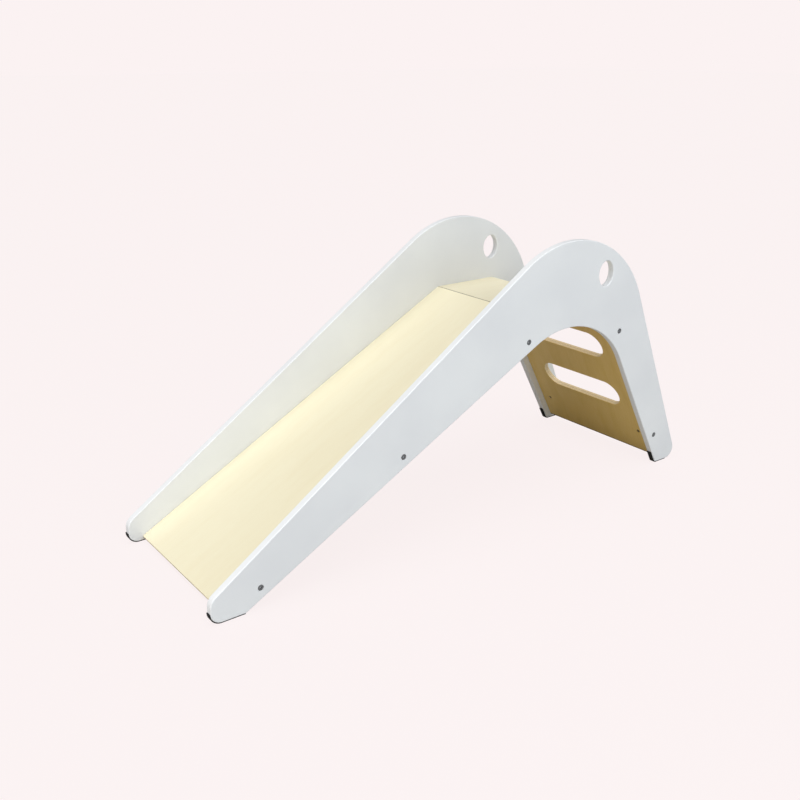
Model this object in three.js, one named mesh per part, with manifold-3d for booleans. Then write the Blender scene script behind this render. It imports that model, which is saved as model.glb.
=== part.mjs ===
// Toddler slide: two plywood side panels, a slide board, and a moulded panel
// that is deck and ladder in one, held together by bolts and barrel nuts.
// Millimetres, +Z up, +X from the toe to the ladder, +Y to the slider's right.

import * as THREE from 'three';
import { mergeVertices } from 'three/addons/utils/BufferGeometryUtils.js';
import Module from 'manifold-3d';

const wasm = await Module();
wasm.setup();

// ---- overall sizes ----
const panelLength = 1450;
const overallWidth = 447;
const deckHeight = 492;
const guardRise = 182;          // top of the side panels above the deck

// ---- sheet and strip thicknesses ----
const panelThickness = 18;
const boardThickness = 15;
const padThickness = 2.2;
const battenThickness = 16;

// ---- side panel outline ----
const noseRadius = 30;
const noseHeight = 36.4;        // centre of the upper nose round above the panel's foot
const toeRadius = 24;
const heelRadius = 8;
const domeRadius = 272;
const domeInset = 454;          // dome centre from the rear end
const archRadius = 227;
const footRadius = 28;
const legCornerRadius = 9;
const lowerEdgeDepth = 32;      // lower edge below the slide surface
const legEdgeDepth = 26.5;      // inner leg edge from the middle of the ladder
const edgeRound = 2.5;

// ---- slide, deck and ladder ----
const slideStartX = 32.5;
const slideStartZ = 14;
const seamInset = 525;          // seam between slide and deck from the rear end
const floorClearance = 2.2;
const ladderAngle = THREE.MathUtils.degToRad(61.4);
const ladderFootInset = 43.8;   // ladder middle, at the panel's foot, from the rear end
const ladderBottomGap = 14;
const bendRadius = 50;          // inside of the moulded bend
const slotCount = 2;
const slotWidth = 84;
const slotEndMargin = 62.5;     // end of a slot from the side panel
const lastRiseExtra = 20;       // last step up to the deck is this much more than the others

// ---- handle hole ----
const handleWidth = 50;
const handleHeight = 64;
const handleEdgeDepth = 60;     // centre below the edge of the dome
const handleAngle = THREE.MathUtils.degToRad(56.6);

// ---- fasteners ----
const boltHeadDiameter = 13;
const boltHeadThickness = 2.2;
const headChamfer = 0.6;
const boltDiameter = 6;
const tipChamfer = 1;
const boltTip = 7;              // bolt past the middle of its nut
const socketAcrossFlats = 4;
const socketDepth = 3;
const headRecess = 0.3;
const nutDiameter = 10;
const nutInset = 32;            // nut from the side panel
const nutSkin = 2;              // wood left over the blind end of a nut's bore
const nutSlotWidth = 1.4;
const nutSlotDepth = 1.2;
const lowBoltInset = 90.4;      // first slide bolt from the low end of the board
const highBoltInset = 80.2;     // last slide bolt from the seam
const footBoltRise = 98.5;      // lower ladder bolt up the ladder from the panel's foot
const headBoltDrop = 39;        // upper ladder bolt below the start of the bend
const dowelDiameter = 8;
const dowelInPanel = 10;
const dowelInBoard = 20;
const ladderDowelRise = 214;
const screwDiameter = 4;
const screwHeadDiameter = 8;
const screwHeadDepth = 2.4;
const screwInBoard = 8;
const screwPoint = 3;
const screwsPerRow = 3;
const screwEndMargin = 60;

// ---- batten and pads ----
const battenReach = 34;         // each way from the seam
const battenEndMargin = 24;
const padInset = 2;             // pad side from the panel's face
const rearPadRise = 33;         // rear pad up the inner leg edge

// ---- fits ----
const gap = 0.3;
const holeClearance = 1;        // bolt holes are this much wider than the bolt
const facetError = 0.25;        // largest distance of a facet from its arc
const roundSides = 12;
const handleSides = 28;
const overcut = 1;              // cutting tools run this far past the face they open

// ---- places worked out from the sizes above ----
const footZ = padThickness + gap;
const innerWidth = overallWidth - 2 * panelThickness;
const innerHalf = innerWidth / 2;
const boardHalf = innerHalf - gap;
const panelTop = deckHeight + guardRise;
const seamX = panelLength - seamInset;
const slope = Math.atan2(deckHeight - slideStartZ, seamX - slideStartX);
const slideLength = Math.hypot(deckHeight - slideStartZ, seamX - slideStartX);
const bendOuterRadius = bendRadius + boardThickness;

const down = -Math.PI / 2;
const left = Math.PI;
const up = Math.PI / 2;

// ---- outline helpers: plain plane geometry, x along the slide and y up ----

const polar = (angle, length = 1) => new THREE.Vector2(length * Math.cos(angle), length * Math.sin(angle));

// A line is kept as the angle of its outward normal and its distance from the origin.
const lineThrough = (point, normalAngle) => ({ angle: normalAngle, reach: polar(normalAngle).dot(point) });

const meet = (a, b) => {
  const na = polar(a.angle);
  const nb = polar(b.angle);
  const det = na.x * nb.y - na.y * nb.x;
  return new THREE.Vector2((a.reach * nb.y - b.reach * na.y) / det, (b.reach * na.x - a.reach * nb.x) / det);
};

const moved = (line, distance) => ({ angle: line.angle, reach: line.reach + distance });

// Outer tangent line of two circles, walking clockwise from the first to the second.
const beltLine = (a, b) => {
  const between = b.centre.clone().sub(a.centre);
  const normal = between.angle() + Math.asin((b.radius - a.radius) / between.length()) + up;
  return lineThrough(a.centre.clone().add(polar(normal, a.radius)), normal);
};

const arc = (centre, radius, from, to) => {
  const step = 2 * Math.acos(1 - facetError / radius);
  const count = Math.max(2, Math.ceil(Math.abs(to - from) / step));
  return Array.from({ length: count + 1 }, (_, i) =>
    centre.clone().add(polar(from + ((to - from) * i) / count, radius)));
};

// Turn from one direction to another the short way, clockwise when it is negative.
const shortTurn = (from, to) => THREE.MathUtils.euclideanModulo(to - from + Math.PI, 2 * Math.PI) - Math.PI;

const roundBetween = (circle, a, b) =>
  arc(circle.centre, circle.radius, a.angle, a.angle + shortTurn(a.angle, b.angle));

const roundCorner = (a, b, radius) =>
  roundBetween({ centre: meet(moved(a, -radius), moved(b, -radius)), radius }, a, b);

const hollowCorner = (a, b, radius) => {
  const centre = meet(moved(a, radius), moved(b, radius));
  return arc(centre, radius, a.angle + Math.PI, a.angle + Math.PI + shortTurn(a.angle, b.angle));
};

const circleOutline = (radius, sides = roundSides) =>
  Array.from({ length: sides }, (_, i) => polar((2 * Math.PI * i) / sides, radius));

// ---- the lines and circles that the whole slide hangs on ----

const slideStart = new THREE.Vector2(slideStartX, slideStartZ);
const seam = new THREE.Vector2(seamX, deckHeight);
const slideTop = lineThrough(seam, slope + up);
const deckTop = lineThrough(seam, up);

const ladderFoot = new THREE.Vector2(panelLength - ladderFootInset, footZ);
const ladderUp = polar(Math.PI - ladderAngle);
const ladderOut = Math.PI / 2 - ladderAngle;
const ladderMiddle = lineThrough(ladderFoot, ladderOut);
const ladderOuter = moved(ladderMiddle, boardThickness / 2);
const bendCentre = meet(moved(deckTop, -bendOuterRadius), moved(ladderOuter, -bendOuterRadius));
const bendStart = bendCentre.clone().sub(ladderFoot).dot(ladderUp);

const onLadder = (rise, out = 0) =>
  ladderFoot.clone().addScaledVector(ladderUp, rise).add(polar(ladderOut, out));
const onSlide = (run, depth = 0) =>
  slideStart.clone().add(polar(slope, run)).add(polar(slope + down, depth));

const floorLine = lineThrough(new THREE.Vector2(0, footZ), down);
const noseLine = lineThrough(new THREE.Vector2(0, 0), left);
const lowerEdge = moved(lineThrough(seam, slope + down), lowerEdgeDepth);
const heel = meet(lowerEdge, floorLine);
const legEdge = moved(lineThrough(ladderFoot, ladderOut + Math.PI), legEdgeDepth);

const nose = { centre: new THREE.Vector2(noseRadius, footZ + noseHeight), radius: noseRadius };
const domeCentre = new THREE.Vector2(panelLength - domeInset, panelTop - domeRadius);
const dome = { centre: domeCentre, radius: domeRadius };
const footCentre = new THREE.Vector2(panelLength - footRadius, footZ + footRadius);
const foot = { centre: footCentre, radius: footRadius };
const guardLine = beltLine(nose, dome);
const rearLine = beltLine(dome, foot);
const handleCentre = dome.centre.clone().add(polar(handleAngle, domeRadius - handleEdgeDepth));

const panelOutline = () => [
  ...arc(nose.centre, noseRadius, left, guardLine.angle),
  ...roundBetween(dome, guardLine, rearLine),
  ...roundBetween(foot, rearLine, floorLine),
  ...roundCorner(floorLine, legEdge, legCornerRadius),
  ...hollowCorner(legEdge, lowerEdge, archRadius),
  ...roundCorner(lowerEdge, floorLine, heelRadius),
  ...roundCorner(floorLine, noseLine, toeRadius),
];

const handleOutline = () =>
  Array.from({ length: handleSides }, (_, i) => {
    const turn = (2 * Math.PI * i) / handleSides;
    return handleCentre.clone().add(
      new THREE.Vector2((Math.cos(turn) * handleWidth) / 2, (Math.sin(turn) * handleHeight) / 2));
  });

// ---- solids ----

const toSolid = (geometry) => {
  const bare = geometry.clone();
  bare.deleteAttribute('normal');
  bare.deleteAttribute('uv');
  const merged = mergeVertices(bare, 1e-4);
  return new wasm.Manifold(new wasm.Mesh({
    numProp: 3,
    vertProperties: new Float32Array(merged.attributes.position.array),
    triVerts: new Uint32Array(merged.index.array),
  }));
};

const toGeometry = (solid) => {
  const mesh = solid.getMesh();
  const geometry = new THREE.BufferGeometry();
  geometry.setAttribute('position', new THREE.BufferAttribute(new Float32Array(mesh.vertProperties), 3));
  geometry.setIndex(new THREE.BufferAttribute(new Uint32Array(mesh.triVerts), 1));
  geometry.computeVertexNormals();
  return geometry;
};

const cut = (geometry, tools) =>
  toGeometry(tools.reduce((solid, tool) => solid.subtract(toSolid(tool)), toSolid(geometry)));

// A prism of an outline between two widths across the slide.
const prism = (outline, from, to) => {
  const shape = new THREE.Shape(outline);
  return new THREE.ExtrudeGeometry(shape, { depth: to - from, bevelEnabled: false }).translate(0, 0, from);
};

const crossBore = (point, diameter, from, to) =>
  prism(circleOutline(diameter / 2), from, to).translate(point.x, point.y, 0);

// A round bar in the plane of the outline: it starts at a point and runs in a direction.
const planeBar = (point, angle, diameter, length, across) => {
  const geometry = new THREE.CylinderGeometry(diameter / 2, diameter / 2, length, roundSides);
  geometry.translate(0, length / 2, 0);
  geometry.rotateZ(angle - up);
  return geometry.translate(point.x, point.y, across);
};

// ---- what joins the boards to the panels ----

const middleDepth = boardThickness / 2;
const lowRun = lowBoltInset;
const highRun = slideLength - highBoltInset;
const middleRun = (lowRun + highRun) / 2;
const deckMiddle = new THREE.Vector2((seamX + bendCentre.x) / 2, deckHeight - middleDepth);
const slideUnder = slope + down;
const ladderIn = ladderOut + Math.PI;

const joints = [
  { name: 'slide_1', board: 'slide', point: onSlide(lowRun, middleDepth), under: slideUnder },
  { name: 'slide_2', board: 'slide', point: onSlide(middleRun, middleDepth), under: slideUnder },
  { name: 'slide_3', board: 'slide', point: onSlide(highRun, middleDepth), under: slideUnder },
  { name: 'ladder_foot', board: 'ladder', point: onLadder(footBoltRise), under: ladderIn },
  { name: 'ladder_head', board: 'ladder', point: onLadder(bendStart - headBoltDrop), under: ladderIn },
];

const dowels = [
  { name: 'slide_low', board: 'slide', point: onSlide((lowRun + middleRun) / 2, middleDepth) },
  { name: 'slide_high', board: 'slide', point: onSlide((middleRun + highRun) / 2, middleDepth) },
  { name: 'deck', board: 'ladder', point: deckMiddle },
  { name: 'ladder', board: 'ladder', point: onLadder(ladderDowelRise) },
];

const sides = [
  { name: 'left', sign: 1 },
  { name: 'right', sign: -1 },
];

const between = (a, b) => [Math.min(a, b), Math.max(a, b)];

// ---- materials ----

const paint = new THREE.MeshStandardMaterial({ color: 0xe9ebec, roughness: 0.5, metalness: 0 });
const birch = new THREE.MeshStandardMaterial({ color: 0xe8dcb8, roughness: 0.45, metalness: 0 });
const beech = new THREE.MeshStandardMaterial({ color: 0xd3b48a, roughness: 0.7, metalness: 0 });
const steel = new THREE.MeshStandardMaterial({ color: 0x55585c, roughness: 0.4, metalness: 0.9 });
const zinc = new THREE.MeshStandardMaterial({ color: 0x9a9da0, roughness: 0.45, metalness: 0.9 });
const rubber = new THREE.MeshStandardMaterial({ color: 0x141414, roughness: 0.85, metalness: 0 });

// The standing group turns the outline's plane upright: its z runs across the slide.
const standing = new THREE.Group();
standing.rotation.x = Math.PI / 2;

const add = (name, geometry, material) => {
  const mesh = new THREE.Mesh(geometry, material.clone());
  mesh.name = name;
  standing.add(mesh);
  return mesh;
};

// ---- side panels ----

const counterboreDepth = headRecess + boltHeadThickness + gap;

function sidePanel(sign) {
  const shape = new THREE.Shape(panelOutline());
  shape.holes.push(new THREE.Path(handleOutline()));
  const blank = new THREE.ExtrudeGeometry(shape, {
    depth: panelThickness - 2 * edgeRound,
    bevelThickness: edgeRound,
    bevelSize: edgeRound,
    bevelOffset: -edgeRound,
    bevelSegments: 2,
  });
  blank.translate(0, 0, edgeRound + (sign > 0 ? innerHalf : -innerHalf - panelThickness));
  const outer = sign * (innerHalf + panelThickness);
  const tools = [];
  for (const { point } of joints) {
    const through = between(sign * (innerHalf - overcut), outer + sign * overcut);
    tools.push(crossBore(point, boltDiameter + holeClearance, ...through));
    const sunk = between(outer - sign * counterboreDepth, outer + sign * overcut);
    tools.push(crossBore(point, boltHeadDiameter + holeClearance, ...sunk));
  }
  for (const { point } of dowels) {
    const blind = between(sign * (innerHalf - overcut), sign * (innerHalf + dowelInPanel));
    tools.push(crossBore(point, dowelDiameter + 2 * gap, ...blind));
  }
  return cut(blank, tools);
}

for (const { name, sign } of sides) {
  add(`side_panel_${name}`, sidePanel(sign), paint);
}

// ---- bores that a board needs for its own bolts, nuts and dowels ----

const nutLength = boardThickness - 2 * (nutSkin + gap);
const boltReach = nutInset + boltTip;

function boardBores(board) {
  const tools = [];
  for (const { sign } of sides) {
    for (const joint of joints.filter((each) => each.board === board)) {
      const open = between(sign * (innerHalf + overcut), sign * (innerHalf - boltReach - gap));
      tools.push(crossBore(joint.point, boltDiameter + holeClearance, ...open));
      const start = joint.point.clone().add(polar(joint.under, nutSkin - middleDepth));
      const depth = boardThickness - nutSkin + overcut;
      tools.push(planeBar(start, joint.under, nutDiameter + 2 * gap, depth, sign * (innerHalf - nutInset)));
    }
    for (const dowel of dowels.filter((each) => each.board === board)) {
      const open = between(sign * (innerHalf + overcut), sign * (innerHalf - dowelInBoard));
      tools.push(crossBore(dowel.point, dowelDiameter + 2 * gap, ...open));
    }
  }
  return tools;
}

// ---- seam batten and its screws ----

// The two boards meet at a mitre below the seam, where their undersides cross.
const belowSeam = (depth) => meet(moved(slideTop, -depth), moved(deckTop, -depth));
const underSeam = belowSeam(boardThickness);
const battenTop = belowSeam(boardThickness + gap);
const battenLow = belowSeam(boardThickness + gap + battenThickness);

const screwRows = [
  { name: 'slide', board: 'slide', along: slope + Math.PI, into: slope + up },
  { name: 'deck', board: 'ladder', along: 0, into: up },
];
const screwAcross = Array.from({ length: screwsPerRow }, (_, i) =>
  -innerHalf + screwEndMargin + ((innerWidth - 2 * screwEndMargin) * i) / (screwsPerRow - 1));
const screwLength = battenThickness + gap + screwInBoard;

// Where a row's screws enter the batten's underside.
const screwStart = (row) =>
  battenTop.clone().add(polar(row.along, battenReach / 2)).add(polar(row.into, -battenThickness));

function screwBores(board) {
  const tools = [];
  for (const row of screwRows.filter((each) => each.board === board)) {
    for (const across of screwAcross) {
      tools.push(planeBar(screwStart(row), row.into, screwDiameter + 2 * gap, screwLength + gap, across));
    }
  }
  return tools;
}

function batten() {
  const outline = [
    battenTop.clone().add(polar(slope + Math.PI, battenReach)),
    battenTop.clone().add(polar(slope + Math.PI, battenReach)).add(polar(slope + down, battenThickness)),
    battenLow,
    battenTop.clone().add(new THREE.Vector2(battenReach, -battenThickness)),
    battenTop.clone().add(new THREE.Vector2(battenReach, 0)),
    battenTop,
  ];
  const half = innerHalf - battenEndMargin;
  const tools = [];
  for (const row of screwRows) {
    for (const across of screwAcross) {
      const start = screwStart(row).add(polar(row.into, -overcut));
      const through = battenThickness + 2 * overcut;
      const sunk = screwHeadDepth + gap + overcut;
      tools.push(planeBar(start, row.into, screwDiameter + 2 * gap, through, across));
      tools.push(planeBar(start, row.into, screwHeadDiameter + 2 * gap, sunk, across));
    }
  }
  return cut(prism(outline, -half, half), tools);
}

// ---- slide board ----

function slideBoard() {
  const back = polar(slope + Math.PI, gap);
  const square = lineThrough(slideStart, slope + Math.PI);
  const clear = lineThrough(new THREE.Vector2(0, floorClearance), down);
  const outline = [
    slideStart,
    meet(square, clear),
    meet(clear, moved(lineThrough(seam, slope + down), boardThickness)),
    underSeam.clone().add(back),
    seam.clone().add(back),
  ];
  return cut(prism(outline, -boardHalf, boardHalf), [...boardBores('slide'), ...screwBores('slide')]);
}

add('slide_board', slideBoard(), birch);

// ---- moulded deck and ladder ----

const treadRise = (deckHeight - lastRiseExtra - footZ) / (slotCount + 1);

// A slot's middle up the ladder, so that its lower edge is a tread of the right height.
const slotRise = (i) => ((i + 1) * treadRise) / Math.sin(ladderAngle) + slotWidth / 2;

function ladderSlot(rise) {
  const reach = innerHalf - slotEndMargin - slotWidth / 2;
  const outline = [
    ...arc(new THREE.Vector2(reach, 0), slotWidth / 2, down, up),
    ...arc(new THREE.Vector2(-reach, 0), slotWidth / 2, up, up + Math.PI),
  ];
  const geometry = prism(outline, -boardThickness, boardThickness);
  geometry.rotateY(Math.PI / 2);
  geometry.rotateZ(ladderOut);
  const centre = onLadder(rise);
  return geometry.translate(centre.x, centre.y, 0);
}

function deckAndLadder() {
  const bottom = ladderBottomGap / Math.sin(ladderAngle);
  const half = boardThickness / 2;
  const outline = [
    underSeam.clone().add(new THREE.Vector2(gap, 0)),
    ...arc(bendCentre, bendRadius, up, ladderOut),
    onLadder(bottom, -half),
    onLadder(bottom, half),
    ...arc(bendCentre, bendOuterRadius, ladderOut, up),
    seam.clone().add(new THREE.Vector2(gap, 0)),
  ];
  const slots = Array.from({ length: slotCount }, (_, i) => ladderSlot(slotRise(i)));
  const bores = [...boardBores('ladder'), ...screwBores('ladder')];
  return cut(prism(outline, -boardHalf, boardHalf), [...slots, ...bores]);
}

add('deck_ladder_panel', deckAndLadder(), birch);
add('seam_batten', batten(), beech);

// ---- bolts: a flat head in the panel, a shank that runs through to the nut ----

const boltLength = panelThickness - headRecess - boltHeadThickness + boltReach;

function bolt() {
  const head = boltHeadDiameter / 2;
  const shank = boltDiameter / 2;
  const profile = [
    new THREE.Vector2(0, -boltHeadThickness - boltLength),
    new THREE.Vector2(shank - tipChamfer, -boltHeadThickness - boltLength),
    new THREE.Vector2(shank, tipChamfer - boltHeadThickness - boltLength),
    new THREE.Vector2(shank, -boltHeadThickness),
    new THREE.Vector2(head, -boltHeadThickness),
    new THREE.Vector2(head, -headChamfer),
    new THREE.Vector2(head - headChamfer, 0),
    new THREE.Vector2(0, 0),
  ];
  const socket = prism(circleOutline(socketAcrossFlats / Math.sqrt(3), 6), -socketDepth, overcut);
  return cut(new THREE.LatheGeometry(profile, roundSides).rotateX(Math.PI / 2), [socket]);
}

// A barrel nut stands along x here, and its cross hole runs along z.
function barrelNut() {
  const body = new THREE.CylinderGeometry(nutDiameter / 2, nutDiameter / 2, nutLength, roundSides);
  body.rotateZ(-Math.PI / 2);
  const hole = prism(circleOutline(boltDiameter / 2 + gap), -nutDiameter, nutDiameter);
  const slot = new THREE.BoxGeometry(2 * nutSlotDepth, 2 * nutDiameter, nutSlotWidth);
  return cut(body, [hole, slot.translate(nutLength / 2, 0, 0)]);
}

const boltGeometry = bolt();
const nutGeometry = barrelNut();

for (const { name: side, sign } of sides) {
  for (const joint of joints) {
    const head = add(`bolt_${joint.name}_${side}`, boltGeometry, steel);
    head.position.set(joint.point.x, joint.point.y, sign * (innerHalf + panelThickness - headRecess));
    head.rotation.y = sign > 0 ? 0 : Math.PI;
    const nut = add(`barrel_nut_${joint.name}_${side}`, nutGeometry, zinc);
    nut.position.set(joint.point.x, joint.point.y, sign * (innerHalf - nutInset));
    nut.rotation.z = joint.under;
  }
}

// ---- dowels ----

const dowelGeometry = prism(circleOutline(dowelDiameter / 2), gap - dowelInBoard, dowelInPanel - gap);

for (const { name: side, sign } of sides) {
  for (const dowel of dowels) {
    const pin = add(`dowel_${dowel.name}_${side}`, dowelGeometry, beech);
    pin.position.set(dowel.point.x, dowel.point.y, sign * innerHalf);
    pin.rotation.y = sign > 0 ? 0 : Math.PI;
  }
}

// ---- batten screws ----

function screw() {
  const head = screwHeadDiameter / 2;
  const shank = screwDiameter / 2;
  const profile = [
    new THREE.Vector2(0, gap / 2),
    new THREE.Vector2(head, gap / 2),
    new THREE.Vector2(shank, screwHeadDepth),
    new THREE.Vector2(shank, screwLength - screwPoint),
    new THREE.Vector2(0, screwLength),
  ];
  return new THREE.LatheGeometry(profile, roundSides);
}

const screwGeometry = screw();

for (const row of screwRows) {
  screwAcross.forEach((across, i) => {
    const start = screwStart(row);
    const pin = add(`screw_${row.name}_${i + 1}`, screwGeometry, zinc);
    pin.position.set(start.x, start.y, across);
    pin.rotation.z = row.into - up;
  });
}

// ---- rubber pads: strips that wrap a front corner and run under the foot ----

const padOuter = gap + padThickness;

function toePadOutline() {
  const centre = meet(moved(floorLine, -toeRadius), moved(noseLine, -toeRadius));
  return [
    ...arc(centre, toeRadius + padOuter, left, left + Math.PI / 2),
    new THREE.Vector2(heel.x, footZ - padOuter),
    new THREE.Vector2(heel.x, footZ - gap),
    ...arc(centre, toeRadius + gap, left + Math.PI / 2, left),
  ];
}

function rearPadOutline() {
  const centre = meet(moved(floorLine, -legCornerRadius), moved(legEdge, -legCornerRadius));
  const floorAngle = legEdge.angle + shortTurn(legEdge.angle, down);
  const legStart = lineThrough(new THREE.Vector2(0, footZ + rearPadRise), up);
  return [
    meet(moved(legEdge, padOuter), legStart),
    ...arc(centre, legCornerRadius + padOuter, legEdge.angle, floorAngle),
    new THREE.Vector2(foot.centre.x, footZ - padOuter),
    new THREE.Vector2(foot.centre.x, footZ - gap),
    ...arc(centre, legCornerRadius + gap, floorAngle, legEdge.angle),
    meet(moved(legEdge, gap), legStart),
  ];
}

for (const { name: side, sign } of sides) {
  const width = between(sign * (innerHalf + padInset), sign * (innerHalf + panelThickness - padInset));
  add(`toe_pad_${side}`, prism(toePadOutline(), ...width), rubber);
  add(`rear_pad_${side}`, prism(rearPadOutline(), ...width), rubber);
}

// The origin is on the floor under the middle of the object.
standing.position.x = -(panelLength - padOuter) / 2;

const slide = new THREE.Group();
slide.add(standing);

export default slide;
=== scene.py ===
import math

import bmesh
import bpy
from mathutils import Matrix, Vector


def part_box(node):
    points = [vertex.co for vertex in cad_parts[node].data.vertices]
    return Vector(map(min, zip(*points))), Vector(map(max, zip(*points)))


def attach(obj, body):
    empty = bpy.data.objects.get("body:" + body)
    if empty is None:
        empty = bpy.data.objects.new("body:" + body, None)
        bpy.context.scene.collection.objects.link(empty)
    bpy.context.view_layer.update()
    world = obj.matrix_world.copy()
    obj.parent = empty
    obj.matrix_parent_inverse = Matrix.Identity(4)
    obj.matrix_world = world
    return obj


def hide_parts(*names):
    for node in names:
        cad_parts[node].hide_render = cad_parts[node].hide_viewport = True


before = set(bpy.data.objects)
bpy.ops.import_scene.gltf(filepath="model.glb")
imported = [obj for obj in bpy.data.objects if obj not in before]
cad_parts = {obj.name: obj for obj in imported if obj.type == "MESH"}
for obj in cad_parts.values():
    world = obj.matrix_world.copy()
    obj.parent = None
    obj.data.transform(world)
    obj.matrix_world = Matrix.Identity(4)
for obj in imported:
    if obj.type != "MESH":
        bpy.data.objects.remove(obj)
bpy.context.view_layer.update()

# Toddler slide: two painted side panels, a slide board, a moulded deck and ladder, and their fixings.
# Metres. X runs from the toe to the ladder, Y across, Z up from the floor.

print("frame loaded:", len(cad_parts), "nodes")

tiny = 1e-6
turnStep = math.radians(2.2)       # one facet of a round outline
flatFace = 0.9995                  # a face counts as flat from this height of its normal
squareCorner = math.radians(57)
cutCorner = math.radians(23)
sharpFrom = math.radians(38)
shadingWeight = 80
spare = 0.02                       # cut off again by a mitre


# An outline lives in a flat x, y plane until it is put in place. A line is its normal's angle and its
# distance from the origin, and an arc is its centre, radius, first angle and turn.

def polar(angle, length=1.0):
    return Vector((math.cos(angle), math.sin(angle))) * length


def lineThrough(point, normalAngle):
    return normalAngle, polar(normalAngle).dot(point)


def moved(line, distance):
    return line[0], line[1] + distance


def meet(a, b):
    first, second = polar(a[0]), polar(b[0])
    spread = first.x * second.y - first.y * second.x
    return Vector(((a[1] * second.y - b[1] * first.y) / spread,
                   (b[1] * first.x - a[1] * second.x) / spread))


def shortTurn(start, end):
    return (end - start + math.pi) % (2 * math.pi) - math.pi


def beltLine(centreA, radiusA, centreB, radiusB):
    # outer tangent of two circles, walking clockwise from the first to the second
    between = centreB - centreA
    along = math.atan2(between.y, between.x)
    normal = along + math.asin((radiusB - radiusA) / between.length) + math.pi / 2
    return lineThrough(centreA + polar(normal, radiusA), normal)


def roundAt(centre, radius, a, b):
    return centre, radius, a[0], shortTurn(a[0], b[0])


def roundCorner(a, b, radius):
    return roundAt(meet(moved(a, -radius), moved(b, -radius)), radius, a, b)


def hollowCorner(a, b, radius):
    centre = meet(moved(a, radius), moved(b, radius))
    return centre, radius, a[0] + math.pi, shortTurn(a[0], b[0])


def centreOf(node):
    low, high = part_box(node)
    return (low + high) / 2


def standing(node):
    # middle of a node in the upright plane that the outlines live in
    middle = centreOf(node)
    return Vector((middle.x, middle.z))


panelLow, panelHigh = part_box("side_panel_left")
deckLow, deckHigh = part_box("deck_ladder_panel")
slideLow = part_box("slide_board")[0]
up, down, left = math.pi / 2, -math.pi / 2, math.pi

slideRun = standing("bolt_slide_3_left") - standing("bolt_slide_1_left")
slope = math.atan2(slideRun.y, slideRun.x)
ladderRun = standing("bolt_ladder_head_left") - standing("bolt_ladder_foot_left")
ladderAngle = math.atan2(ladderRun.y, ladderRun.x)
ladderOut = ladderAngle - math.pi / 2

board = {
    "thickness": 0.015,
    "half": (deckHigh.y - deckLow.y) / 2,
    "bendRadius": 0.0575,          # middle of the sheet
    "bendSteps": 26,
    "gap": 0.0003,
    "rim": 0.0011,
    "cornerRadius": 0.0018,
    "rimSegments": 3,
    "seamEase": 0.0007,
    "endEase": 0.0006,
    "plies": 11,
}
halfSheet = board["thickness"] / 2
slideMiddle = lineThrough(standing("bolt_slide_1_left"), slope + up)
slideTop = moved(slideMiddle, halfSheet)
deckTop = lineThrough(Vector((0, deckHigh.z)), up)
ladderMiddle = lineThrough(standing("bolt_ladder_foot_left"), ladderOut)
seam = meet(slideTop, deckTop)


def only(kind, geom):
    return [item for item in geom if isinstance(item, kind)]


def closedLoop(bm, arcs, height=0.0):
    # rounds are spun from one vertex each, and straight edges join them
    chains = []
    for centre, radius, start, turn in arcs:
        first = bm.verts.new((*(centre + polar(start, radius)), height))
        steps = max(3, math.ceil(abs(turn) / turnStep))
        spun = bmesh.ops.spin(bm, geom=[first], cent=(*centre, height), axis=(0, 0, 1), dvec=(0, 0, 0),
                              angle=turn, steps=steps, use_merge=False, use_duplicate=False)
        chains.append((first, only(bmesh.types.BMVert, spun["geom_last"])[0]))
    following = chains[1:] + chains[:1]
    joins = [bm.edges.new((chain[1], after[0])) for chain, after in zip(chains, following)]
    found, stack = set(joins), list(joins)
    while stack:
        for vert in stack.pop().verts:
            for edge in vert.link_edges:
                if edge not in found:
                    found.add(edge)
                    stack.append(edge)
    return list(found)


def circleLoop(bm, centre, across, upright, height, segments):
    place = Matrix.Translation((*centre, height)) @ Matrix.Diagonal((across, upright, 1, 1))
    made = bmesh.ops.create_circle(bm, cap_ends=False, segments=segments, radius=1, matrix=place)
    return list({edge for vert in made["verts"] for edge in vert.link_edges})


def easeEdges(bm, edges, offset, segments):
    bmesh.ops.bevel(bm, geom=edges, offset=offset, offset_type="OFFSET", segments=segments,
                    profile=0.5, affect="EDGES", clamp_overlap=False, loop_slide=True, material=-1)


def filled(bm, edges, facing):
    face = bmesh.ops.edgeloop_fill(bm, edges=edges)["faces"][0]
    face.normal_update()
    if face.normal.z * facing < 0:
        face.normal_flip()
    return face


def throughHole(bm, ringAt, thickness, rim, segments):
    # a flat collar round the hole on each face, and a wall between them with rounded rims
    top = filled(bm, ringAt(bm, 2 * rim, 0), 1)
    bottom = filled(bm, ringAt(bm, 2 * rim, -thickness), -1)
    bmesh.ops.inset_individual(bm, faces=[top, bottom], thickness=2 * rim, use_even_offset=True)
    rims = list(top.edges) + list(bottom.edges)
    grown = bmesh.ops.extrude_face_region(bm, geom=[top])["geom"]
    wallEnd = only(bmesh.types.BMVert, grown)
    bmesh.ops.translate(bm, verts=wallEnd, vec=(0, 0, -thickness))
    bmesh.ops.delete(bm, geom=only(bmesh.types.BMFace, grown) + [top, bottom], context="FACES_ONLY")
    ends = wallEnd + list({v for e in rims if e.is_valid for v in e.verts if v.co.z < -tiny})
    bmesh.ops.remove_doubles(bm, verts=list(set(ends)), dist=10 * tiny)
    corners = [e for v in wallEnd if v.is_valid for e in v.link_edges]
    corners += [e for e in rims if e.is_valid]
    corners = [e for e in set(corners) if e.is_manifold and e.calc_face_angle(0) > squareCorner]
    easeEdges(bm, corners, rim, segments)


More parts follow.
